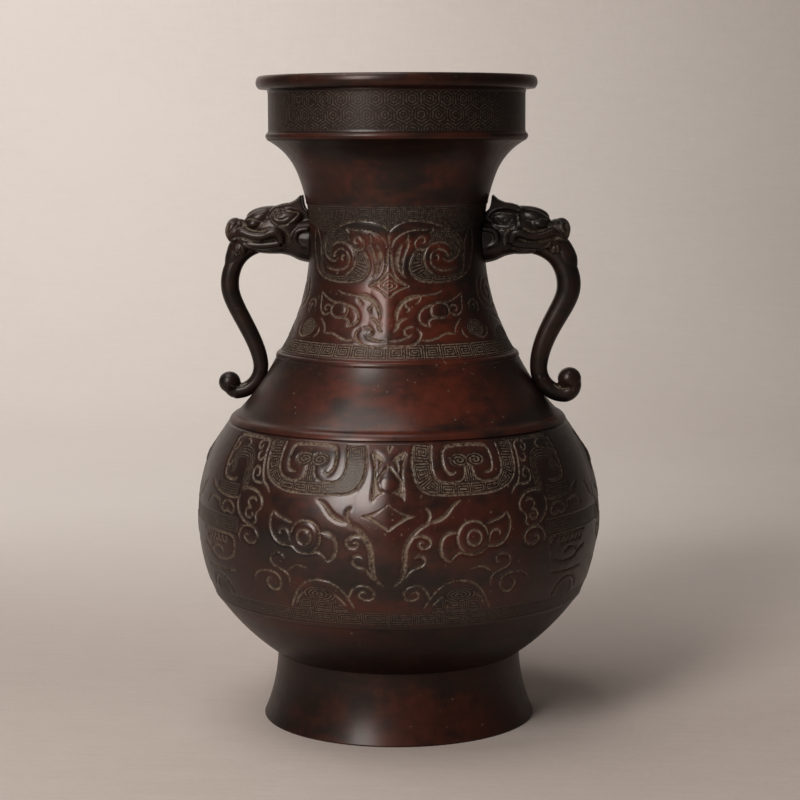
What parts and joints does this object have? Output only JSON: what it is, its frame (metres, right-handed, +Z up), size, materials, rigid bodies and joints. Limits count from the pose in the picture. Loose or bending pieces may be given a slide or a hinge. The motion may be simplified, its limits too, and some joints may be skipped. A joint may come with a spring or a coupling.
{
  "type": "bronze hu vase",
  "caption": "Free-standing bronze vase of the hu form with a flared foot, round belly, waisted neck, straight collar and a beast-head scroll handle on each side.",
  "frame": {"origin": "centre of the foot's underside, on the surface that the vase stands on", "axes": "+Z up along the vase's axis, +X through the right handle, -Y towards the front"},
  "size_m": [0.2276, 0.2276, 0.36],
  "materials": {
    "patinated_bronze": "satin brown-black patina, worn red-brown on the plain zones",
    "dark_bronze": "satin near-black patina",
    "raw_bronze": "dull bronze, unpolished"
  },
  "bodies": {
    "root": {"foot_ring": "patinated_bronze", "vessel_body": "patinated_bronze", "neck": "patinated_bronze", "mouth_collar": "patinated_bronze", "base_plate": "raw_bronze", "left_handle_head": "dark_bronze", "right_handle_head": "dark_bronze", "left_handle_scroll": "dark_bronze", "right_handle_scroll": "dark_bronze", "base_plate_rivets": "raw_bronze", "foot_pins": "raw_bronze", "neck_pins": "raw_bronze", "collar_pins": "raw_bronze", "handle_keys": "raw_bronze", "scroll_dowels": "raw_bronze"}
  },
  "joints": []
}
